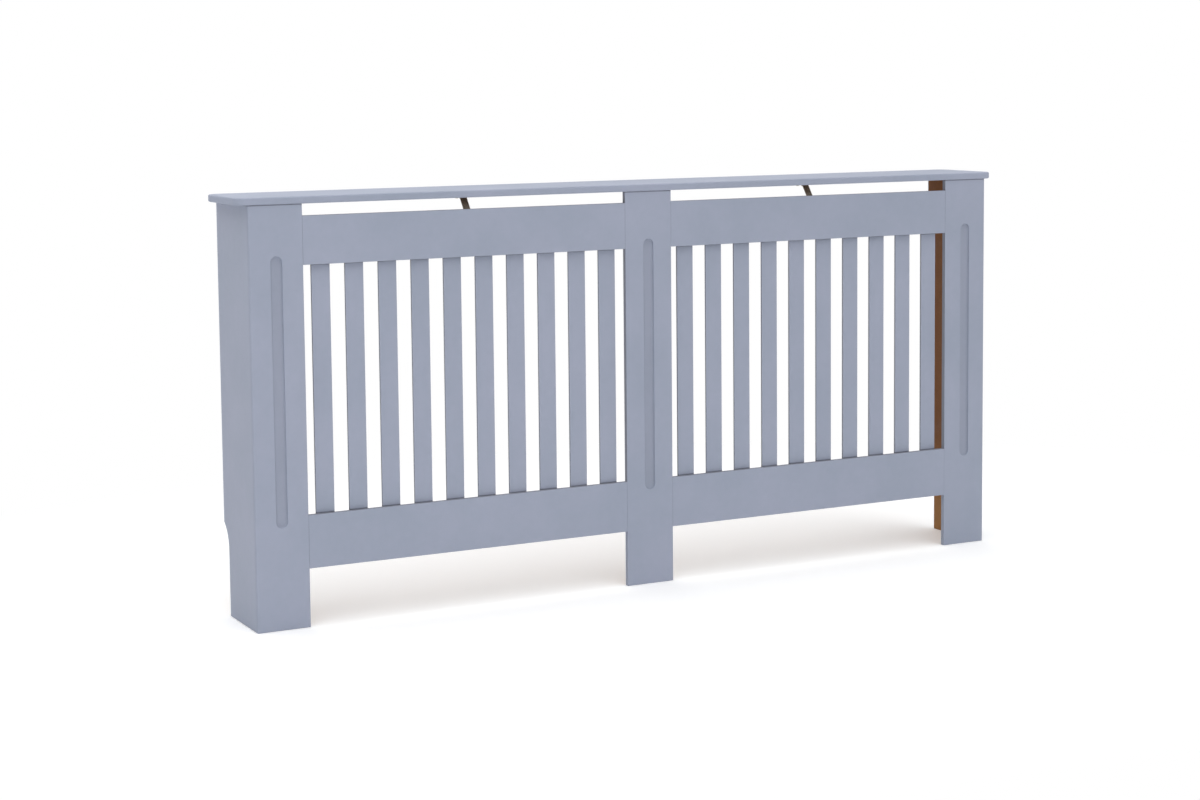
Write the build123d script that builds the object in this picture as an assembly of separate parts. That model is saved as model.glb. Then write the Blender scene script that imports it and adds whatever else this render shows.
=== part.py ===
from build123d import *
import math
import os

# Radiator cover cabinet, millimetres.
# X runs along the wall, Y from the front (negative) to the wall (positive), Z up from the floor.
# The origin is on the floor, in the middle of the width and of the depth.

# Overall
overall_width = 1720.0
overall_depth = 190.0
overall_height = 815.0

# Top panel
top_thickness = 14.0
top_corner_radius = 25.0
top_edge_round = 3.0
front_overhang = 3.0
side_overhang = 22.0

# Boards of the front and the sides
board_thickness = 10.0
side_thickness = 15.0
edge_ease = 0.6
post_width = 105.0
post_corner_round = 3.0
upper_rail_height = 92.0
lower_rail_height = 102.0
foot_gap = 112.0
vent_gap = 22.5
rail_end_gap = 0.1

# Flute on the face of each post
flute_width = 23.0
flute_depth = 5.0
flute_corner_round = 4.5
flute_foot = 194.0
flute_head = 96.0

# Slats
slat_count = 10
slat_width = 37.0
slat_thickness = 4.0
slat_edge_gap = 19.0
slat_lap = 40.0

# Skirting notch at the rear foot of each side panel
skirting_depth = 27.0
skirting_height = 130.0
skirting_arc_radius = 60.0

# Dowels
dowel_diameter = 5.0
dowel_chamfer = 0.6
dowel_clearance = 0.1
dowel_end_gap = 0.5
blind_skin = 4.0
rail_dowel_length = 30.0
rail_dowel_spacing = 50.0
side_dowel_in_panel = 17.0
side_dowel_count = 3
side_dowel_margin = 150.0
top_dowel_in_post = 18.0
top_dowel_spacing = 60.0

# Screws
screw_diameter = 3.5
screw_head_diameter = 7.0
screw_head_height = 2.2
screw_head_round = 1.2
screw_tip = 2.0
screw_recess_width = 0.9
screw_recess_span = 3.8
screw_recess_depth = 1.1
pilot_clearance = 0.1
metal_hole_clearance = 0.35

# Bent straps between the upper rails and the top panel
brace_width = 14.0
brace_thickness = 2.0
brace_bend_radius = 2.0
brace_lean = 37.0
brace_foot = 38.0
brace_top_foot = 40.0
brace_bend_drop = 2.0
brace_screw_inset = 9.0

# Angle brackets under the top panel
bracket_leg = 25.0
bracket_width = 16.0
bracket_thickness = 2.0
bracket_bend_radius = 1.5
bracket_screw_inset = 9.0
front_bracket_inset = 24.0
bracket_spacing = 55.0

# Wall brackets on the side panels
wall_bracket_leg = 25.0
wall_bracket_height = 40.0
wall_bracket_drop = 80.0
wall_bracket_screw_spacing = 22.0
wall_hole_diameter = 6.5
wall_hole_inset = 10.0

# Places that follow from the sizes above
front_y = -overall_depth / 2
wall_y = overall_depth / 2
post_front = front_y + front_overhang
post_back = post_front + board_thickness
board_middle = (post_front + post_back) / 2
under_top = overall_height - top_thickness
body_half = overall_width / 2 - side_overhang
side_inner = body_half - side_thickness
post_half = post_width / 2
outer_post_x = body_half - post_half
bay_width = body_half - post_width - post_half
bay_centre = post_half + bay_width / 2
lower_rail_bottom = foot_gap
lower_rail_top = lower_rail_bottom + lower_rail_height
upper_rail_top = under_top - vent_gap
upper_rail_bottom = upper_rail_top - upper_rail_height
slat_back = post_back + slat_thickness
slat_pitch = (bay_width - 2 * slat_edge_gap - slat_width) / (slat_count - 1)
blind_depth = board_thickness - blind_skin
screw_depth = board_thickness - blind_skin
brace_bend_z = upper_rail_top - brace_bend_drop
brace_top_y = post_back + (under_top - brace_bend_z) * math.tan(math.radians(brace_lean))
wall_bracket_z = under_top - wall_bracket_drop


def block(x0, x1, y0, y1, z0, z1):
    """Plain board between two opposite corners."""
    corner = (Align.MIN, Align.MIN, Align.MIN)
    return Pos(x0, y0, z0) * Box(x1 - x0, y1 - y0, z1 - z0, align=corner)


def front_edges(board):
    """The four edges round the front face of a board."""
    return board.faces().sort_by(Axis.Y)[0].edges()


def round_bar(radius, start, end):
    """Cylinder along its own Z, from start to end."""
    bar = Cylinder(radius, end - start, align=(Align.CENTER, Align.CENTER, Align.MIN))
    return Pos(0, 0, start) * bar


def along(origin, direction):
    """Location whose Z points along the given direction."""
    return Location(Plane(origin=origin, z_dir=direction))


# Dowels and their holes

def dowel(length):
    """Round dowel along Z from its origin, with both ends chamfered."""
    bar = round_bar(dowel_diameter / 2, 0, length)
    return chamfer(bar.edges().filter_by(GeomType.CIRCLE), dowel_chamfer)


def dowel_hole(length):
    """Hole for a dowel of that length, a little wider and longer."""
    return round_bar(dowel_diameter / 2 + dowel_clearance, -dowel_end_gap, length + dowel_end_gap)


def rail_heights(bottom, height):
    """Heights of the two dowels in each end of a rail."""
    middle = bottom + height / 2
    return [middle - rail_dowel_spacing / 2, middle + rail_dowel_spacing / 2]


def rail_dowel_places(joint_x):
    """Dowels that cross the upright joint at joint_x, for both rails."""
    heights = rail_heights(lower_rail_bottom, lower_rail_height)
    heights += rail_heights(upper_rail_bottom, upper_rail_height)
    start = joint_x - rail_dowel_length / 2
    return [along((start, board_middle, z), (1, 0, 0)) for z in heights]


def joints_of_post(post_x):
    """Faces of a post that carry rails."""
    faces = [post_x - post_half, post_x + post_half]
    return [x for x in faces if abs(x) < body_half - post_half]


def side_dowel_places(side):
    """Dowels from an outer post back into its side panel."""
    step = (under_top - 2 * side_dowel_margin) / (side_dowel_count - 1)
    x = side * (side_inner + side_thickness / 2)
    start = post_back - blind_depth + dowel_end_gap
    heights = [side_dowel_margin + step * i for i in range(side_dowel_count)]
    return [along((x, start, z), (0, 1, 0)) for z in heights]


def side_dowel_length():
    return blind_depth - dowel_end_gap + side_dowel_in_panel


def top_dowel_places(post_x):
    """Dowels from a post's head up into the top panel."""
    offsets = (-top_dowel_spacing / 2, top_dowel_spacing / 2)
    start = under_top - top_dowel_in_post
    return [along((post_x + dx, board_middle, start), (0, 0, 1)) for dx in offsets]


def top_dowel_length():
    return top_dowel_in_post + top_thickness - blind_skin - dowel_end_gap


# Screws and their holes

def screw(grip):
    """Pan head screw: its origin is under the head and the shank runs along +Z."""
    radius = screw_diameter / 2
    shank = round_bar(radius, 0, grip + screw_depth - screw_tip)
    point = Pos(0, 0, grip + screw_depth - screw_tip) * Cone(
        radius, radius / 6, screw_tip, align=(Align.CENTER, Align.CENTER, Align.MIN))
    head = round_bar(screw_head_diameter / 2, -screw_head_height, 0)
    rim = head.edges().filter_by(GeomType.CIRCLE).sort_by(Axis.Z)[0]
    head = fillet(rim, screw_head_round)
    slot = Box(screw_recess_span, screw_recess_width, 2 * screw_recess_depth)
    cross = slot + Rot(0, 0, 90) * slot
    return head + shank + point - Pos(0, 0, -screw_head_height) * cross


def pilot_hole(grip):
    """Hole in the board under a screw, a little wider and deeper than the shank."""
    return round_bar(screw_diameter / 2 + pilot_clearance, 0, grip + screw_depth + pilot_clearance)


def metal_hole(grip):
    """Hole through the metal under a screw head."""
    return round_bar(screw_diameter / 2 + metal_hole_clearance, -grip, 2 * grip)


def brace_rail_screws(x):
    """Screws through the lower foot of a strap into the back of the upper rail."""
    low = brace_bend_z - brace_foot + brace_screw_inset
    high = brace_bend_z - brace_screw_inset
    return [along((x, post_back + brace_thickness, z), (0, -1, 0)) for z in (low, high)]


def brace_top_screws(x):
    """Screws through the upper foot of a strap into the top panel."""
    near = brace_top_y + brace_screw_inset
    far = brace_top_y + brace_top_foot - brace_screw_inset
    return [along((x, y, under_top - brace_thickness), (0, 0, 1)) for y in (near, far)]


# Bent metal

def bent_strip(points, thickness, bend_radius, width):
    """Strip along a path in its own XY plane, on the right-hand side of the path, width along Z.

    Every bend of the path turns to the right, towards the strip's own side.
    """
    path = [Vector(*point) for point in points]
    normals = []
    for start, end in zip(path, path[1:]):
        run = (end - start).normalized()
        normals.append(Vector(run.Y, -run.X))
    inner = [path[0] + normals[0] * thickness]
    for point, before, after in zip(path[1:], normals, normals[1:]):
        mitre = (before + after) / (1 + before.dot(after))
        inner.append(point + mitre * thickness)
    inner.append(path[-1] + normals[-1] * thickness)
    outer_line = FilletPolyline(*path, radius=bend_radius + thickness)
    inner_line = FilletPolyline(*inner, radius=bend_radius)
    first_end = Line(path[0], inner[0])
    last_end = Line(path[-1], inner[-1])
    return extrude(make_face([outer_line, inner_line, first_end, last_end]), width / 2, both=True)


def brace(x):
    """Strap up the back of an upper rail, leaning back to a foot under the top panel."""
    path = [
        (post_back, brace_bend_z - brace_foot),
        (post_back, brace_bend_z),
        (brace_top_y, under_top),
        (brace_top_y + brace_top_foot, under_top),
    ]
    upright = Plane(origin=(x, 0, 0), x_dir=(0, 1, 0), z_dir=(1, 0, 0))
    strip = upright * bent_strip(path, brace_thickness, brace_bend_radius, brace_width)
    places = brace_rail_screws(x) + brace_top_screws(x)
    return strip - [place * metal_hole(brace_thickness) for place in places]


def angle(leg, width):
    """Angle with its outer corner at the origin and legs along +X and +Y."""
    return bent_strip([(leg, 0), (0, 0), (0, leg)], bracket_thickness, bracket_bend_radius, width)


def leg_screws(frame, distance, offset, first_leg):
    """Screw on one leg of an angle, at a distance from its corner."""
    if first_leg:
        local = along((distance, bracket_thickness, offset), (0, -1, 0))
    else:
        local = along((bracket_thickness, distance, offset), (-1, 0, 0))
    return frame.location * local


def side_bracket_frame(side, y):
    """Angle under the top panel against a side panel: first leg along the top."""
    return Plane(origin=(side * side_inner, y, under_top), x_dir=(-side, 0, 0), z_dir=(0, -side, 0))


def centre_bracket_frame():
    """Angle under the top panel against the back of the centre post: first leg along the top."""
    return Plane(origin=(0, post_back, under_top), x_dir=(0, 1, 0), z_dir=(-1, 0, 0))


def wall_bracket_frame(side):
    """Angle in the rear corner of a side panel: first leg along the panel."""
    origin = (side * side_inner, wall_y, wall_bracket_z)
    return Plane(origin=origin, x_dir=(0, -1, 0), z_dir=(0, 0, -side))


def top_bracket_frames():
    """Frames of the five angles under the top panel, by name."""
    near = post_back + front_bracket_inset
    frames = {"centre_bracket": centre_bracket_frame()}
    for name, side in (("left", -1), ("right", 1)):
        frames[name + "_front_bracket"] = side_bracket_frame(side, near)
        frames[name + "_rear_bracket"] = side_bracket_frame(side, near + bracket_spacing)
    return frames


def bracket_screw(frame, first_leg):
    """The one screw on a leg of an angle under the top panel."""
    return leg_screws(frame, bracket_leg - bracket_screw_inset, 0, first_leg)


def top_bracket(frame):
    places = [bracket_screw(frame, True), bracket_screw(frame, False)]
    holes = [place * metal_hole(bracket_thickness) for place in places]
    return frame * angle(bracket_leg, bracket_width) - holes


def wall_bracket_screws(side):
    """Screws that hold a wall bracket to its side panel."""
    frame = wall_bracket_frame(side)
    distance = wall_bracket_leg - bracket_screw_inset
    offsets = (-wall_bracket_screw_spacing / 2, wall_bracket_screw_spacing / 2)
    return [leg_screws(frame, distance, offset, True) for offset in offsets]


def wall_bracket(side):
    frame = wall_bracket_frame(side)
    bracket = frame * angle(wall_bracket_leg, wall_bracket_height)
    holes = [place * metal_hole(bracket_thickness) for place in wall_bracket_screws(side)]
    wall_hole = leg_screws(frame, wall_bracket_leg - wall_hole_inset, 0, False)
    through = round_bar(wall_hole_diameter / 2, -bracket_thickness, 2 * bracket_thickness)
    return bracket - holes - wall_hole * through


# Boards

def top_panel():
    """Top board with rounded corners, eased edges and blind holes underneath."""
    board = block(-overall_width / 2, overall_width / 2, front_y, wall_y, under_top, overall_height)
    board = fillet(board.edges().filter_by(Axis.Z), top_corner_radius)
    faces = board.faces().filter_by(Axis.Z)
    board = fillet(faces.edges(), top_edge_round)
    holes = []
    for post_x in (-outer_post_x, 0, outer_post_x):
        holes += [place * dowel_hole(top_dowel_length()) for place in top_dowel_places(post_x)]
    for side in (-1, 1):
        places = brace_top_screws(side * bay_centre)
        holes += [place * pilot_hole(brace_thickness) for place in places]
    for frame in top_bracket_frames().values():
        holes.append(bracket_screw(frame, True) * pilot_hole(bracket_thickness))
    return board - holes


def side_panel(side):
    """Side board with the skirting notch at its rear foot."""
    notch_y = wall_y - skirting_depth
    reach = skirting_arc_radius - skirting_depth
    rise = math.sqrt(skirting_arc_radius ** 2 - reach ** 2)
    sweep = math.degrees(math.asin(rise / skirting_arc_radius))
    arc_centre = (notch_y + skirting_arc_radius, skirting_height)
    outline = [
        Line((post_back, 0), (notch_y, 0)),
        Line((notch_y, 0), (notch_y, skirting_height)),
        CenterArc(arc_centre, skirting_arc_radius, 180, -sweep),
        Line((wall_y, skirting_height + rise), (wall_y, under_top)),
        Line((wall_y, under_top), (post_back, under_top)),
        Line((post_back, under_top), (post_back, 0)),
    ]
    inner_x = min(side * side_inner, side * body_half)
    board = Pos(inner_x, 0, 0) * extrude(Plane.YZ * make_face(outline), side_thickness)
    outer_face = board.faces().sort_by(Axis.X)[0 if side < 0 else -1]
    open_edges = [edge for edge in outer_face.edges()
                  if edge.center().Y > post_back + edge_ease and edge.center().Z < under_top - edge_ease]
    board = fillet(open_edges, edge_ease)
    holes = [place * dowel_hole(side_dowel_length()) for place in side_dowel_places(side)]
    for name, frame in top_bracket_frames().items():
        if frame.origin.X * side > 0:
            holes.append(bracket_screw(frame, False) * pilot_hole(bracket_thickness))
    holes += [place * pilot_hole(bracket_thickness) for place in wall_bracket_screws(side)]
    return board - holes


def flute(post_x):
    """Straight-sided flute in a post's face, with half-round ends and a rounded floor corner."""
    length = under_top - flute_head - flute_foot
    middle = (post_x, post_front, flute_foot + length / 2)
    face = Plane(origin=middle, x_dir=(1, 0, 0), z_dir=(0, 1, 0))
    cutter = extrude(face * SlotOverall(length, flute_width, rotation=90), flute_depth)
    return fillet(cutter.faces().sort_by(Axis.Y)[-1].edges(), flute_corner_round)


def post(post_x):
    """Upright front board, with a rounded outer corner on the outer posts."""
    board = block(post_x - post_half, post_x + post_half, post_front, post_back, 0, under_top)
    uprights = front_edges(board).filter_by(Axis.Z).sort_by(Axis.X)
    if post_x < 0:
        board = fillet(uprights[0], post_corner_round)
        board = fillet(front_edges(board).filter_by(Axis.Z).sort_by(Axis.X)[-1], edge_ease)
    elif post_x > 0:
        board = fillet(uprights[-1], post_corner_round)
        board = fillet(front_edges(board).filter_by(Axis.Z).sort_by(Axis.X)[0], edge_ease)
    else:
        board = fillet(uprights, edge_ease)
    cuts = [flute(post_x)]
    for joint_x in joints_of_post(post_x):
        cuts += [place * dowel_hole(rail_dowel_length) for place in rail_dowel_places(joint_x)]
    cuts += [place * dowel_hole(top_dowel_length()) for place in top_dowel_places(post_x)]
    if post_x:
        side = math.copysign(1, post_x)
        cuts += [place * dowel_hole(side_dowel_length()) for place in side_dowel_places(side)]
    else:
        cuts.append(bracket_screw(centre_bracket_frame(), False) * pilot_hole(bracket_thickness))
    return board - cuts


def slat_lefts(side):
    """Left edges of the slats in one bay."""
    start = side * bay_centre - bay_width / 2 + slat_edge_gap
    return [start + slat_pitch * i for i in range(slat_count)]


def rail(side, bottom, height):
    """Rail between two posts, flush with their faces."""
    x0 = side * bay_centre - bay_width / 2
    x1 = side * bay_centre + bay_width / 2
    board = block(x0 + rail_end_gap, x1 - rail_end_gap, post_front, post_back, bottom, bottom + height)
    board = fillet(front_edges(board), edge_ease)
    cuts = []
    for joint_x in (x0, x1):
        cuts += [place * dowel_hole(rail_dowel_length) for place in rail_dowel_places(joint_x)
                 if bottom < place.position.Z < bottom + height]
    return board - cuts


def lower_rail(side):
    return rail(side, lower_rail_bottom, lower_rail_height)


def upper_rail(side):
    """Rail under the top panel, with holes for the screws of its strap."""
    holes = [place * pilot_hole(brace_thickness) for place in brace_rail_screws(side * bay_centre)]
    return rail(side, upper_rail_bottom, upper_rail_height) - holes


def slat(left):
    """Thin upright slat, its ends glued to the backs of both rails."""
    bottom = lower_rail_top - slat_lap
    top = upper_rail_bottom + slat_lap
    board = block(left, left + slat_width, post_back, slat_back, bottom, top)
    return fillet(front_edges(board).filter_by(Axis.Z), edge_ease)


# Assembly

def group(shapes):
    """Separate solids kept in one node."""
    return Compound(children=shapes)


def boards():
    nodes = {"top_panel": top_panel(), "centre_post": post(0)}
    for name, side in (("left", -1), ("right", 1)):
        nodes[name + "_side_panel"] = side_panel(side)
        nodes[name + "_post"] = post(side * outer_post_x)
        nodes[name + "_upper_rail"] = upper_rail(side)
        nodes[name + "_lower_rail"] = lower_rail(side)
        for number, left in enumerate(slat_lefts(side), start=1):
            nodes[f"{name}_slat_{number:02d}"] = slat(left)
    return nodes


def dowels():
    rail_places = []
    for post_x in (-outer_post_x, 0, outer_post_x):
        for joint_x in joints_of_post(post_x):
            rail_places += rail_dowel_places(joint_x)
    side_places = side_dowel_places(-1) + side_dowel_places(1)
    top_places = []
    for post_x in (-outer_post_x, 0, outer_post_x):
        top_places += top_dowel_places(post_x)
    return {
        "rail_dowels": group([place * dowel(rail_dowel_length) for place in rail_places]),
        "side_dowels": group([place * dowel(side_dowel_length()) for place in side_places]),
        "top_dowels": group([place * dowel(top_dowel_length()) for place in top_places]),
    }


def metalwork():
    nodes = {}
    brace_places = []
    wall_places = []
    for name, side in (("left", -1), ("right", 1)):
        x = side * bay_centre
        nodes[name + "_brace"] = brace(x)
        nodes[name + "_wall_bracket"] = wall_bracket(side)
        brace_places += brace_rail_screws(x) + brace_top_screws(x)
        wall_places += wall_bracket_screws(side)
    bracket_places = []
    for name, frame in top_bracket_frames().items():
        nodes[name] = top_bracket(frame)
        bracket_places += [bracket_screw(frame, True), bracket_screw(frame, False)]
    nodes["brace_screws"] = group([place * screw(brace_thickness) for place in brace_places])
    nodes["bracket_screws"] = group([place * screw(bracket_thickness) for place in bracket_places])
    nodes["wall_bracket_screws"] = group([place * screw(bracket_thickness) for place in wall_places])
    return nodes


def main():
    os.makedirs("parts", exist_ok=True)
    nodes = {**boards(), **dowels(), **metalwork()}
    for name, shape in nodes.items():
        export_step(shape, f"parts/{name}.step")
    print(len(nodes), "nodes")


main()
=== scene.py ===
import math

import bmesh
import bpy
from mathutils import Matrix, Vector


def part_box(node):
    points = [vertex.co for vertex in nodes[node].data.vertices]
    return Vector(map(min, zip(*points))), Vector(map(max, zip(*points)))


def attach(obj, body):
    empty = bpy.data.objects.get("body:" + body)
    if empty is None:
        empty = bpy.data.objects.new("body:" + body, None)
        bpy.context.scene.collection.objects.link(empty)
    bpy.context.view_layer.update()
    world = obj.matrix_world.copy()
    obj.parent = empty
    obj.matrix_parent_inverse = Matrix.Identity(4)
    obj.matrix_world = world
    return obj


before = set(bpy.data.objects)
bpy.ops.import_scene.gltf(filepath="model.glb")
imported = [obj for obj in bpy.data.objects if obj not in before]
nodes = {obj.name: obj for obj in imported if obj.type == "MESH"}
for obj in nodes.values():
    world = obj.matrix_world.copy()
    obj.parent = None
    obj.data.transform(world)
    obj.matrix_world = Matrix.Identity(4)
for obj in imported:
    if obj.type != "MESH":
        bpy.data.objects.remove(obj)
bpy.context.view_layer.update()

# Places of the cabinet's boards, in metres, read from the parts in model.glb.
WALL_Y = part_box("top_panel")[1][1]
UNDER_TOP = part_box("centre_post")[1][2]
POST_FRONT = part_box("centre_post")[0][1]
POST_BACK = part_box("centre_post")[1][1]
OUTER_POST_X = (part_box("right_post")[0][0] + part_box("right_post")[1][0]) / 2
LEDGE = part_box("left_lower_rail")[1][2]
UNDER_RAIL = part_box("left_upper_rail")[0][2]
BODY_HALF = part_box("right_side_panel")[1][0]
MILLIMETRE = 0.001

# The grey-blue of the paint; a darker grey for thin paint over the brown board, which also
# serves as painted shade on sides facing into the bays; and the painted shade of inside corners
PAINT = "#9DA5B7"
PAINT_LIGHT = "#A5ABBE"
THIN_PAINT_AND_SHADE = "#868995"
CORNER_SHADE_COLOUR = "#4C4B52"

# The bare board: its fibres, stains and flecks, and painted light from the floor on its foot
DARK_FIBRE = "#734A2A"
LIGHT_FIBRE = "#94663F"
STAIN = "#5F4028"
FLECK = "#4B3422"
PAINTED_FLOOR_LIGHT = "#CB9860"

# How far the painted shade of inside corners reaches and how dark it gets, and half the strip
# of a post that its flute takes up
CORNER_SHADE_REACH = 3.0 * MILLIMETRE
CORNER_SHADE_STRENGTH = 0.85
FLUTE_REACH = 15.0 * MILLIMETRE

# Staples that hold the slats to the backs of the rails
STAPLE_CROWN = 10.0 * MILLIMETRE
STAPLE_WIRE = 1.3 * MILLIMETRE
STAPLE_PROUD = 0.35 * MILLIMETRE
STAPLE_FROM_END = 12.0 * MILLIMETRE
STAPLE_STEP = 15.0 * MILLIMETRE
STAPLE_LEAN = math.radians(9)

# The white floor: its size, how much light it gives back in the picture, and the distances from
# the cabinet's middle, in metres, over which it fades to pure white
FLOOR_SIZE = 60
FLOOR_LIFT = 0.15
FADE_START = 0.7
FADE_END = 1.5

# Even room light, and room light from one side: where from, how narrow, and how strong
ROOM_GLOW = 0.05
ROOM_LIGHTS = [
    ((0.0, -0.7, 0.7), 6.0, 1.36),
    ((0.0, 0.0, 1.0), 6.0, 2.35),
    ((0.0, 0.7, 0.7), 6.0, 0.35),
    ((0.0, 1.0, 0.2), 6.0, 0.6),
    ((1.0, 0.0, 0.1), 6.0, 0.5),
]

# Softboxes: name, place, aim, width, height and watts
SOFTBOXES = [
    ("left_front_softbox", (-1.9, -1.5, 1.9), (-0.3, 0, 0.5), 1.2, 1.2, 4),
    ("left_rear_softbox", (-1.6, 0.5, 2.2), (-0.2, 0, 0.6), 1.6, 1.2, 6),
]

# Camera: place in metres, turns in radians, focal length in millimetres and upward shift.
# Less drop and a shift of about -0.29 would keep upright edges nearly parallel, as they are in the
# view that this follows, but other views would then run off the frame.
CAMERA_PLACE = (-2.143, -4.001, 1.029)
CAMERA_PAN = -0.4795
CAMERA_DROP = 0.0910
CAMERA_ROLL = -0.0096
CAMERA_LENS = 66.59
CAMERA_SHIFT = -0.10


# Colours and nodes

def srgb(hex_code):
    """Linear RGBA of an sRGB hex colour."""
    channels = [int(hex_code[i:i + 2], 16) / 255 for i in (1, 3, 5)]
    linear = [c / 12.92 if c <= 0.04045 else ((c + 0.055) / 1.055) ** 2.4 for c in channels]
    return (*linear, 1.0)


def live(sockets, name=None):
    """The first socket in use, of that name where one is given."""
    return next(socket for socket in sockets if socket.enabled and name in (None, socket.name))


def add(tree, kind, inputs=None, **settings):
    """Adds one node with its settings.

    Each input is a value, or the node or socket that feeds it.
    """
    node = tree.nodes.new(kind)
    for name, value in settings.items():
        setattr(node, name, value)
    for key, value in (inputs or {}).items():
        socket = node.inputs[key] if isinstance(key, int) else live(node.inputs, key)
        if isinstance(value, bpy.types.Node):
            value = live(value.outputs)
        if isinstance(value, bpy.types.NodeSocket):
            tree.links.new(value, socket)
        else:
            socket.default_value = value
    return node


def per_mm(size):
    """Texture scale whose features are about that many millimetres across."""
    return 1 / (size * MILLIMETRE)


def new_material(name):
    """Empty node material, and its tree."""
    material = bpy.data.materials.new(name)
    material.use_nodes = True
    material.node_tree.nodes.clear()
    return material, material.node_tree


def close_material(tree, inputs):
    """Ends a material in a Principled shader with these inputs."""
    shader = add(tree, "ShaderNodeBsdfPrincipled", inputs)
    add(tree, "ShaderNodeOutputMaterial", {"Surface": shader})


# Finishes of the fibreboard

def satin_paint(tree, place, cut_edge, thin_and_shade, corner):
    """Sprayed satin paint: colour, roughness and height of its soft orange peel.

    Cut edges drink more paint than faces, so there it is duller and the fibres telegraph through.
    The thin paint lets the brown board show, and on inner edges it also stands for painted shade;
    inside corners get painted shade.
    """
    cloud = add(tree, "ShaderNodeTexNoise", {"Vector": place, "Scale": per_mm(160), "Detail": 3.0})
    mist = add(tree, "ShaderNodeTexNoise", {"Vector": place, "Scale": per_mm(14), "Detail": 3.0})
    peel = add(tree, "ShaderNodeTexNoise", {"Vector": place, "Scale": per_mm(2.4), "Detail": 2.0})
    nib = add(tree, "ShaderNodeTexNoise", {"Vector": place, "Scale": per_mm(0.9), "Detail": 4.0})

    tones = add(tree, "ShaderNodeMath", {0: mist, 1: 0.35, 2: cloud}, operation="MULTIPLY_ADD")
    tone = add(tree, "ShaderNodeMapRange", {"Value": tones, "From Min": 0.45, "From Max": 0.9})
    face = add(tree, "ShaderNodeMix", {"Factor": tone, "A": srgb(PAINT), "B": srgb(PAINT_LIGHT)},
               data_type="RGBA")
    # Darker thin paint, partly painted shade, then painted shade in the inside corners
    thinned_and_shaded = add(tree, "ShaderNodeMix", {"Factor": thin_and_shade, "A": face, "B": srgb(THIN_PAINT_AND_SHADE)},
                 data_type="RGBA")
    colour = add(tree, "ShaderNodeMix", {"Factor": corner, "A": thinned_and_shaded, "B": srgb(CORNER_SHADE_COLOUR)},
                 data_type="RGBA")

    satin = add(tree, "ShaderNodeMapRange",
                {"Value": peel, "From Min": 0.3, "From Max": 0.7, "To Min": 0.52, "To Max": 0.60})
    roughness = add(tree, "ShaderNodeMath", {0: cut_edge, 1: 0.14, 2: satin},
                    operation="MULTIPLY_ADD")

    nibs = add(tree, "ShaderNodeMapRange",
               {"Value": nib, "From Min": 0.62, "From Max": 0.74, "To Max": 0.5},
               interpolation_type="SMOOTHSTEP")
    skin = add(tree, "ShaderNodeMath", {0: peel, 1: nibs}, operation="ADD")
    height = add(tree, "ShaderNodeMath", {0: nib, 1: cut_edge, 2: skin}, operation="MULTIPLY_ADD")
    return colour, roughness, height


def raw_fibreboard(tree, place):
    """Bare pressed fibreboard: brown felt of short fibres, dark flecks and a dust of overspray.

    It is drawn paler towards the floor: painted light, standing for light thrown up by the floor.
    """
    # Real fibres are 0.1 mm wide: drawn 0.8 mm so that they show.
    fibre = add(tree, "ShaderNodeTexNoise",
                {"Vector": place, "Scale": per_mm(0.8), "Detail": 5.0, "Distortion": 1.5})
    cloud = add(tree, "ShaderNodeTexNoise", {"Vector": place, "Scale": per_mm(22), "Detail": 4.0})
    fleck = add(tree, "ShaderNodeTexVoronoi", {"Vector": place, "Scale": per_mm(3.0)})
    drift = add(tree, "ShaderNodeTexNoise", {"Vector": place, "Scale": per_mm(70), "Detail": 6.0})

    strands = add(tree, "ShaderNodeMapRange", {"Value": fibre, "From Min": 0.3, "From Max": 0.7})
    felt = add(tree, "ShaderNodeMix",
               {"Factor": strands, "A": srgb(DARK_FIBRE), "B": srgb(LIGHT_FIBRE)},
               data_type="RGBA")
    stain = add(tree, "ShaderNodeMapRange",
                {"Value": cloud, "From Min": 0.35, "From Max": 0.7, "To Max": 0.18})
    stained = add(tree, "ShaderNodeMix", {"Factor": stain, "A": felt, "B": srgb(STAIN)},
                  data_type="RGBA")
    specks = add(tree, "ShaderNodeMapRange", {"Value": fleck, "From Min": 0.10, "From Max": 0.16,
                                              "To Min": 0.55, "To Max": 0.0})
    board = add(tree, "ShaderNodeMix", {"Factor": specks, "A": stained, "B": srgb(FLECK)},
                data_type="RGBA")
    dust = add(tree, "ShaderNodeMapRange",
               {"Value": drift, "From Min": 0.45, "From Max": 0.8, "To Max": 0.07},
               interpolation_type="SMOOTHSTEP")
    dusted = add(tree, "ShaderNodeMix", {"Factor": dust, "A": board, "B": srgb(PAINT)},
                 data_type="RGBA")
    height = add(tree, "ShaderNodeSeparateXYZ", {"Vector": place}).outputs["Z"]
    # Painted light from the floor, stronger towards the foot
    painted_floor_bounce = add(tree, "ShaderNodeMapRange",
                     {"Value": height, "From Min": LEDGE, "From Max": 0.0, "To Max": 0.6})
    colour = add(tree, "ShaderNodeMix", {"Factor": painted_floor_bounce, "A": dusted, "B": srgb(PAINTED_FLOOR_LIGHT)},
                 data_type="RGBA")
    roughness = add(tree, "ShaderNodeMapRange", {"Value": fibre, "From Min": 0.3, "From Max": 0.7,
                                                 "To Min": 0.78, "To Max": 0.9})
    return colour, roughness, fibre


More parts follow.
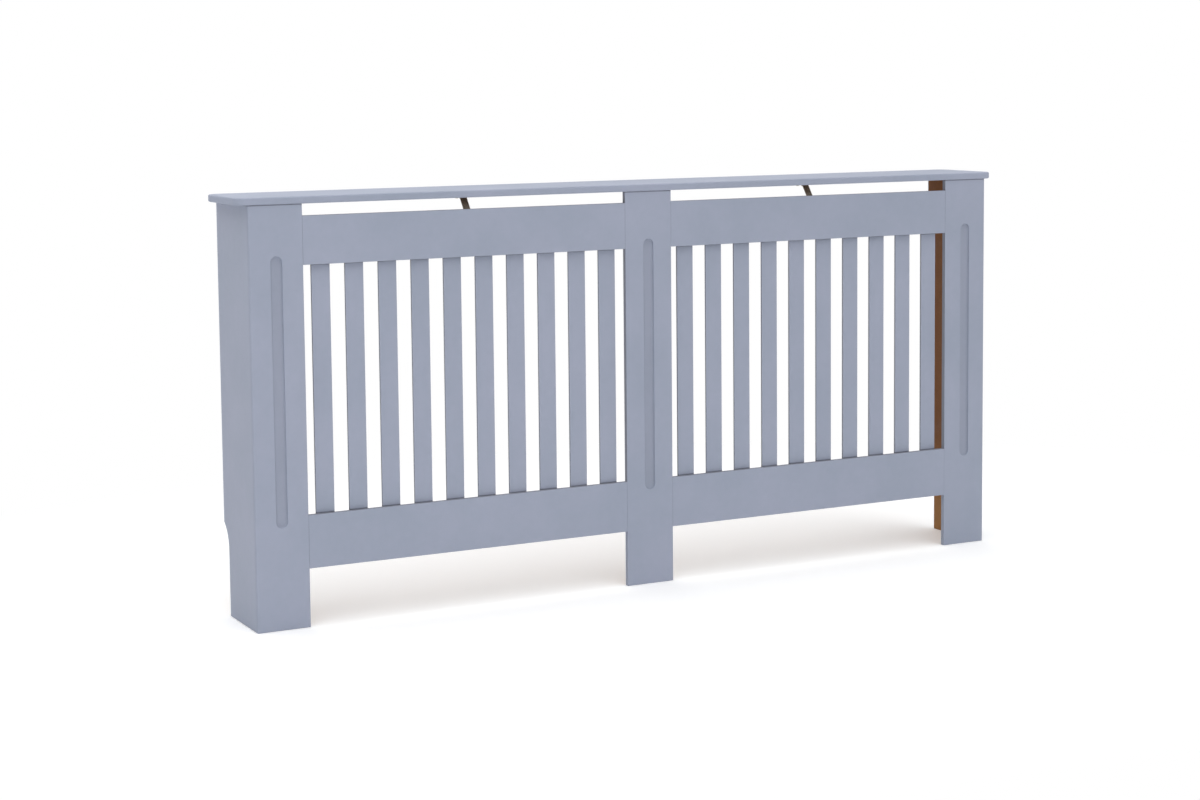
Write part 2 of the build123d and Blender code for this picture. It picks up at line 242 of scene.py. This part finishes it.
def painted_fibreboard(name, face_axis, bare_mask, thin_and_shade_mask, corners=()):
    """Satin paint on fibreboard, left bare where bare_mask says, and darker where the thin-paint
    mask says: thin paint over the brown board, partly painted shade.

    face_axis is the axis that the board's two faces look along: its other sides are cut edges.
    corners are the heights at which other boards meet its face, with painted shade at each.
    """
    material, tree = new_material(name)
    coordinates = add(tree, "ShaderNodeTexCoord")
    place = coordinates.outputs["Object"]
    position = add(tree, "ShaderNodeSeparateXYZ", {"Vector": place}).outputs
    normal = add(tree, "ShaderNodeSeparateXYZ", {"Vector": coordinates.outputs["Normal"]}).outputs
    along_faces = add(tree, "ShaderNodeMath", {0: normal[face_axis]}, operation="ABSOLUTE")
    cut_edge = add(tree, "ShaderNodeMapRange",
                   {"Value": along_faces, "From Min": 0.75, "From Max": 0.35},
                   interpolation_type="SMOOTHSTEP")
    # Darker thin paint on cut edges, partly painted shade
    thin_and_shade = thin_and_shade_mask(tree, position, cut_edge)
    # Painted shade along the inside corners at the given heights
    corner = painted_corner_shade(tree, position["Z"], corners)
    paint, paint_roughness, paint_height = satin_paint(tree, place, cut_edge, thin_and_shade, corner)
    raw, raw_roughness, raw_height = raw_fibreboard(tree, place)
    bare = bare_mask(tree, position, normal, torn_edge(tree, place))

    colour = add(tree, "ShaderNodeMix", {"Factor": bare, "A": paint, "B": raw}, data_type="RGBA")
    roughness = add(tree, "ShaderNodeMix",
                    {"Factor": bare, "A": paint_roughness, "B": raw_roughness})
    paint_bump = add(tree, "ShaderNodeBump", {"Height": paint_height, "Strength": 0.35,
                                              "Distance": 0.05 * MILLIMETRE})
    raw_bump = add(tree, "ShaderNodeBump", {"Height": raw_height, "Strength": 0.8,
                                            "Distance": 0.12 * MILLIMETRE})
    bump = add(tree, "ShaderNodeMix", {"Factor": bare, "A": paint_bump, "B": raw_bump},
               data_type="VECTOR")
    close_material(tree, {"Base Color": colour, "Roughness": roughness, "Normal": bump,
                          "IOR": 1.45})
    return material


def thin_nowhere(tree, position, cut_edge):
    """The top panel's edges are filled, and take the paint as its faces do."""
    return 0.0


def thin_paint_and_shade_on_edges(tree, position, cut_edge):
    """Sawn edges are unfilled and take darker thin paint, partly painted shade."""
    return cut_edge


def thin_paint_and_shade_on_post(tree, position, cut_edge):
    """Sawn sides above the lower rails take darker thin paint, partly painted shade where they
    face into the bays; the routed flute floor takes a little, as painted shade in the recess.
    """
    from_middle = add(tree, "ShaderNodeMath", {0: position["X"]}, operation="ABSOLUTE")
    past_outer = add(tree, "ShaderNodeMath", {0: from_middle, 1: OUTER_POST_X},
                     operation="SUBTRACT")
    from_outer = add(tree, "ShaderNodeMath", {0: past_outer}, operation="ABSOLUTE")
    from_flute = add(tree, "ShaderNodeMath", {0: from_middle, 1: from_outer}, operation="MINIMUM")
    beside_flute = add(tree, "ShaderNodeMath", {0: from_flute, 1: FLUTE_REACH},
                       operation="GREATER_THAN")
    covered = add(tree, "ShaderNodeMath", {0: from_middle, 1: BODY_HALF - 2 * MILLIMETRE},
                  operation="LESS_THAN")
    above = add(tree, "ShaderNodeMath", {0: position["Z"], 1: LEDGE}, operation="GREATER_THAN")
    inner = add(tree, "ShaderNodeMath", {0: covered, 1: above}, operation="MULTIPLY")
    sawn = add(tree, "ShaderNodeMath", {0: beside_flute, 1: inner}, operation="MULTIPLY")
    sides = add(tree, "ShaderNodeMath", {0: sawn, 1: cut_edge}, operation="MULTIPLY")
    # Painted shade on the flute floor behind the post's face
    routed = add(tree, "ShaderNodeMapRange",
                 {"Value": position["Y"], "From Min": POST_FRONT + 1 * MILLIMETRE,
                  "From Max": POST_FRONT + 3 * MILLIMETRE, "To Max": 0.2})
    flute = add(tree, "ShaderNodeMath", {0: beside_flute, 1: 0.5}, operation="LESS_THAN")
    floor = add(tree, "ShaderNodeMath", {0: flute, 1: routed}, operation="MULTIPLY")
    return add(tree, "ShaderNodeMath", {0: sides, 1: floor}, operation="MAXIMUM")


def painted_corner_shade(tree, height, corners):
    """Painted shade: rises from 0 to full strength on the last millimetres before each corner."""
    shade = 0.0
    for corner in corners:
        away = add(tree, "ShaderNodeMath", {0: height, 1: corner}, operation="SUBTRACT")
        distance = add(tree, "ShaderNodeMath", {0: away}, operation="ABSOLUTE")
        line = add(tree, "ShaderNodeMapRange",
                   {"Value": distance, "From Max": CORNER_SHADE_REACH, "To Min": CORNER_SHADE_STRENGTH,
                    "To Max": 0.0},
                   interpolation_type="SMOOTHSTEP")
        shade = add(tree, "ShaderNodeMath", {0: line, 1: shade}, operation="MAXIMUM")
    return shade


def torn_edge(tree, place):
    """Small shifts, in metres, that fray the border between paint and bare board."""
    noise = add(tree, "ShaderNodeTexNoise", {"Vector": place, "Scale": per_mm(9), "Detail": 5.0})
    return add(tree, "ShaderNodeMapRange", {"Value": noise, "To Min": -4 * MILLIMETRE,
                                            "To Max": 4 * MILLIMETRE})


def bare_back(tree, position, normal, fray):
    """Front boards are bare on the faces towards the wall."""
    return add(tree, "ShaderNodeMapRange",
               {"Value": normal["Y"], "From Min": 0.6, "From Max": 0.8})


def bare_inside(tree, position, normal, fray):
    """Side panels are bare on the faces towards each other."""
    side = add(tree, "ShaderNodeMath", {0: position["X"]}, operation="SIGN")
    outward = add(tree, "ShaderNodeMath", {0: normal["X"], 1: side}, operation="MULTIPLY")
    facing = add(tree, "ShaderNodeMapRange",
                 {"Value": outward, "From Min": -0.6, "From Max": -0.8})
    ahead_of_wall = add(tree, "ShaderNodeMath", {0: WALL_Y, 1: position["Y"]},
                        operation="SUBTRACT")
    mist = add(tree, "ShaderNodeMath", {0: ahead_of_wall, 1: fray}, operation="ADD")
    past_mist = add(tree, "ShaderNodeMapRange", {"Value": mist, "From Max": 2.5 * MILLIMETRE})
    return add(tree, "ShaderNodeMath", {0: facing, 1: past_mist}, operation="MULTIPLY")


def bare_underside(tree, position, normal, fray):
    """The top panel is bare underneath, inside the line of the posts and the side panels."""
    facing = add(tree, "ShaderNodeMapRange", {"Value": normal["Z"], "From Min": -0.6,
                                              "From Max": -0.8})
    from_middle = add(tree, "ShaderNodeMath", {0: position["X"]}, operation="ABSOLUTE")
    across = add(tree, "ShaderNodeMath", {0: BODY_HALF, 1: from_middle}, operation="SUBTRACT")
    behind = add(tree, "ShaderNodeMath", {0: position["Y"], 1: POST_BACK}, operation="SUBTRACT")
    ahead_of_wall = add(tree, "ShaderNodeMath", {0: WALL_Y, 1: position["Y"]},
                        operation="SUBTRACT")
    nearer = add(tree, "ShaderNodeMath", {0: across, 1: behind}, operation="MINIMUM")
    nearest = add(tree, "ShaderNodeMath", {0: nearer, 1: ahead_of_wall}, operation="MINIMUM")
    mist = add(tree, "ShaderNodeMath", {0: nearest, 1: fray}, operation="ADD")
    past_mist = add(tree, "ShaderNodeMapRange", {"Value": mist, "From Max": 6 * MILLIMETRE})
    return add(tree, "ShaderNodeMath", {0: facing, 1: past_mist}, operation="MULTIPLY")


# Finishes of the metal and the dowels

def lacquered_rolled_steel():
    """Hot rolled steel strip under clear lacquer: dark, brownish, lengthwise rolling marks."""
    material, tree = new_material("lacquered_rolled_steel")
    place = add(tree, "ShaderNodeTexCoord").outputs["Object"]
    # Real rolling marks are a few tenths of a millimetre apart: drawn 1.2 mm so that they show.
    drawn = add(tree, "ShaderNodeMapping", {"Vector": place, "Scale": (1.0, 0.06, 0.06)})
    marks = add(tree, "ShaderNodeTexNoise",
                {"Vector": drawn, "Scale": per_mm(1.2), "Detail": 4.0})
    mill_scale = add(tree, "ShaderNodeTexNoise",
                     {"Vector": place, "Scale": per_mm(7), "Detail": 5.0})
    blotch = add(tree, "ShaderNodeMapRange", {"Value": mill_scale, "From Min": 0.35,
                                              "From Max": 0.65})
    colour = add(tree, "ShaderNodeMix",
                 {"Factor": blotch, "A": srgb("#706456"), "B": srgb("#8A7D6D")},
                 data_type="RGBA")
    roughness = add(tree, "ShaderNodeMapRange", {"Value": marks, "From Min": 0.3, "From Max": 0.7,
                                                 "To Min": 0.36, "To Max": 0.52})
    bump = add(tree, "ShaderNodeBump", {"Height": marks, "Strength": 0.4,
                                        "Distance": 0.05 * MILLIMETRE})
    close_material(tree, {"Base Color": colour, "Roughness": roughness, "Normal": bump,
                          "Metallic": 0.35})
    return material


def zinc_plate(name, light, dark):
    """Zinc plating: pale metal with fine spangle and soft handling marks."""
    material, tree = new_material(name)
    place = add(tree, "ShaderNodeTexCoord").outputs["Object"]
    # Crystals of real plating are too fine to see: drawn 1.6 mm so that they show.
    spangle = add(tree, "ShaderNodeTexVoronoi", {"Vector": place, "Scale": per_mm(1.6)})
    smear = add(tree, "ShaderNodeTexNoise", {"Vector": place, "Scale": per_mm(6), "Detail": 4.0})
    tone = add(tree, "ShaderNodeMapRange", {"Value": smear, "From Min": 0.35, "From Max": 0.7})
    colour = add(tree, "ShaderNodeMix",
                 {"Factor": tone, "A": srgb(light), "B": srgb(dark)},
                 data_type="RGBA")
    grain = add(tree, "ShaderNodeMath", {0: spangle, 1: smear}, operation="ADD")
    roughness = add(tree, "ShaderNodeMapRange", {"Value": grain, "From Min": 0.4, "From Max": 1.3,
                                                 "To Min": 0.24, "To Max": 0.42})
    bump = add(tree, "ShaderNodeBump", {"Height": spangle, "Strength": 0.15,
                                        "Distance": 0.03 * MILLIMETRE})
    close_material(tree, {"Base Color": colour, "Roughness": roughness, "Normal": bump,
                          "Metallic": 1.0})
    return material


def turned_beech():
    """Turned beech: warm, with short darker ray flecks."""
    material, tree = new_material("beech")
    place = add(tree, "ShaderNodeTexCoord").outputs["Object"]
    rays = add(tree, "ShaderNodeTexNoise", {"Vector": place, "Scale": per_mm(1.5), "Detail": 4.0})
    fleck = add(tree, "ShaderNodeMapRange", {"Value": rays, "From Min": 0.45, "From Max": 0.65})
    colour = add(tree, "ShaderNodeMix",
                 {"Factor": fleck, "A": srgb("#D8B98E"), "B": srgb("#A9835A")},
                 data_type="RGBA")
    close_material(tree, {"Base Color": colour, "Roughness": 0.6})
    return material


# Pieces that only the finished cabinet has

def slat_staples(wire_finish):
    """Two staples through each end of every slat, their crowns just proud of the slat's back."""
    shape = bmesh.new()
    for number, name in enumerate(slat_names()):
        (left, _, bottom), (right, back, top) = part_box(name)
        middle = (left + right) / 2
        for end, inward in ((bottom, 1), (top, -1)):
            for step in (0, 1):
                height = end + inward * (STAPLE_FROM_END + step * STAPLE_STEP)
                # A scatter that is the same on each run
                lean = STAPLE_LEAN * math.sin(3.1 * number + 1.7 * step + inward)
                place = Matrix.Translation((middle, back + STAPLE_PROUD / 2, height))
                size = Matrix.Diagonal((STAPLE_CROWN, STAPLE_PROUD * 2, STAPLE_WIRE, 1))
                turned = place @ Matrix.Rotation(lean, 4, "Y") @ size
                bmesh.ops.create_cube(shape, size=1, matrix=turned)
    wire_edges = [edge for edge in shape.edges if edge.calc_length() > STAPLE_CROWN / 2]
    bmesh.ops.bevel(shape, geom=wire_edges, offset=STAPLE_WIRE / 4, offset_type="OFFSET",
                    affect="EDGES", segments=2, profile=0.5, material=-1)
    mesh = bpy.data.meshes.new("slat_staples")
    shape.to_mesh(mesh)
    shape.free()
    mesh.materials.append(wire_finish)
    staples = bpy.data.objects.new("slat_staples", mesh)
    bpy.context.collection.objects.link(staples)
    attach(staples, "root")


def dress(material, names):
    """Gives the named nodes one material."""
    for name in names:
        mesh = nodes[name].data
        mesh.materials.clear()
        mesh.materials.append(material)


def named(*endings):
    """Nodes whose names end in one of the endings."""
    return [name for name in nodes if name.endswith(endings)]


def slat_names():
    """Nodes of the slats, in both bays."""
    return [name for name in nodes if "_slat_" in name]


def finish_cabinet():
    """Gives every CAD node its finish, and adds the staples."""
    # Each list of heights gives a line of painted shade along an inside corner
    post = painted_fibreboard("satin_painted_post", "Y", bare_back, thin_paint_and_shade_on_post, [UNDER_TOP])
    rail = painted_fibreboard("satin_painted_rail", "Y", bare_back, thin_paint_and_shade_on_edges)
    slat = painted_fibreboard("satin_painted_slat", "Y", bare_back, thin_paint_and_shade_on_edges,
                              [LEDGE, UNDER_RAIL])
    side = painted_fibreboard("satin_painted_side_board", "X", bare_inside, thin_paint_and_shade_on_edges,
                              [UNDER_TOP])
    top = painted_fibreboard("satin_painted_top_board", "Z", bare_underside, thin_nowhere)
    dress(post, named("_post"))
    dress(rail, named("_rail"))
    dress(slat, slat_names())
    dress(side, named("_side_panel"))
    dress(top, ["top_panel"])
    dress(lacquered_rolled_steel(), named("_brace"))
    dress(zinc_plate("zinc_plated_bracket", "#C9C9C2", "#A9AAA6"), named("_bracket"))
    dress(zinc_plate("yellow_zinc_screw", "#CFC7AE", "#AFA68C"), named("_screws"))
    dress(turned_beech(), named("_dowels"))
    slat_staples(zinc_plate("galvanised_staple_wire", "#C4C5C2", "#A2A39F"))


# Room and light

def seen_directly(tree):
    """1 for rays from the camera, from gloss and through glass, else 0."""
    path = add(tree, "ShaderNodeLightPath").outputs
    seen = add(tree, "ShaderNodeMath", {0: path["Is Camera Ray"], 1: path["Is Glossy Ray"]},
               operation="MAXIMUM")
    return add(tree, "ShaderNodeMath", {0: seen, 1: path["Is Transmission Ray"]},
               operation="MAXIMUM")


def studio_floor():
    """Near-white matt floor that takes the cabinet's shadow and runs out into the white room."""
    bpy.ops.mesh.primitive_plane_add(size=FLOOR_SIZE, location=(0, 0, -0.5 * MILLIMETRE))
    floor = bpy.context.object
    floor.name = "studio_floor"
    material, tree = new_material("white_studio_floor")
    place = add(tree, "ShaderNodeTexCoord").outputs["Object"]
    spread = add(tree, "ShaderNodeMapping", {"Vector": place, "Scale": (0.7, 1.0, 1.0)})
    distance = add(tree, "ShaderNodeVectorMath", {"Vector": spread}, operation="LENGTH")
    far = add(tree, "ShaderNodeMapRange",
              {"Value": distance, "From Min": FADE_START, "From Max": FADE_END},
              interpolation_type="SMOOTHSTEP")
    seen = seen_directly(tree)
    lift = add(tree, "ShaderNodeMath", {0: seen, 1: FLOOR_LIFT}, operation="MULTIPLY")
    matt = add(tree, "ShaderNodeBsdfPrincipled",
               {"Base Color": srgb("#FAFAFA"), "Roughness": 0.95,
                "Emission Color": (1, 1, 1, 1), "Emission Strength": lift})
    white = add(tree, "ShaderNodeEmission", {"Color": (1, 1, 1, 1), "Strength": 1.0})
    whiteness = add(tree, "ShaderNodeMath", {0: far, 1: seen}, operation="MULTIPLY")
    surface = add(tree, "ShaderNodeMixShader", {0: whiteness, 1: matt, 2: white})
    add(tree, "ShaderNodeOutputMaterial", {"Surface": surface})
    floor.data.materials.append(material)


def studio_world():
    """White room, seen directly as pure white. Its light comes more from some sides."""
    world = bpy.data.worlds.new("white_room")
    bpy.context.scene.world = world
    world.use_nodes = True
    tree = world.node_tree
    tree.nodes.clear()
    direction = add(tree, "ShaderNodeTexCoord").outputs["Generated"]
    strength = ROOM_GLOW
    for side, narrowness, power in ROOM_LIGHTS:
        toward = add(tree, "ShaderNodeVectorMath", {0: direction, 1: Vector(side).normalized()},
                     operation="DOT_PRODUCT")
        lit = add(tree, "ShaderNodeMath", {0: toward, 1: 0.0}, operation="MAXIMUM")
        glow = add(tree, "ShaderNodeMath", {0: lit, 1: narrowness}, operation="POWER")
        strength = add(tree, "ShaderNodeMath", {0: glow, 1: power, 2: strength},
                       operation="MULTIPLY_ADD")
    room = add(tree, "ShaderNodeBackground", {"Color": (1, 1, 1, 1), "Strength": strength})
    backdrop = add(tree, "ShaderNodeBackground", {"Color": (1, 1, 1, 1), "Strength": 1.0})
    mix = add(tree, "ShaderNodeMixShader", {0: seen_directly(tree), 1: room, 2: backdrop})
    add(tree, "ShaderNodeOutputWorld", {"Surface": mix})


def softbox(name, place, target, width, height, watts):
    """Large area light at a place, aimed at a target."""
    light = bpy.data.lights.new(name, "AREA")
    light.shape = "RECTANGLE"
    light.size = width
    light.size_y = height
    light.energy = watts
    lamp = bpy.data.objects.new(name, light)
    lamp.location = place
    lamp.rotation_euler = (Vector(target) - Vector(place)).to_track_quat("-Z", "Y").to_euler()
    bpy.context.collection.objects.link(lamp)


def studio_camera():
    """Long-lens camera to the left of the front, above the top panel and looking slightly down."""
    camera = bpy.data.cameras.new("camera")
    camera.sensor_width = 36.0
    camera.lens = CAMERA_LENS
    camera.shift_y = CAMERA_SHIFT
    camera.dof.use_dof = False
    camera.clip_end = 100
    seen_from = bpy.data.objects.new("camera", camera)
    turn = Matrix.Rotation(CAMERA_PAN, 4, "Z")
    tilt = Matrix.Rotation(math.pi / 2 - CAMERA_DROP, 4, "X")
    roll = Matrix.Rotation(CAMERA_ROLL, 4, "Z")
    seen_from.matrix_world = Matrix.Translation(CAMERA_PLACE) @ turn @ tilt @ roll
    bpy.context.collection.objects.link(seen_from)
    bpy.context.scene.camera = seen_from


def studio():
    """Floor, room, softboxes and camera."""
    bpy.context.scene.view_settings.view_transform = "Standard"
    studio_floor()
    studio_world()
    for values in SOFTBOXES:
        softbox(*values)
    studio_camera()


finish_cabinet()
studio()
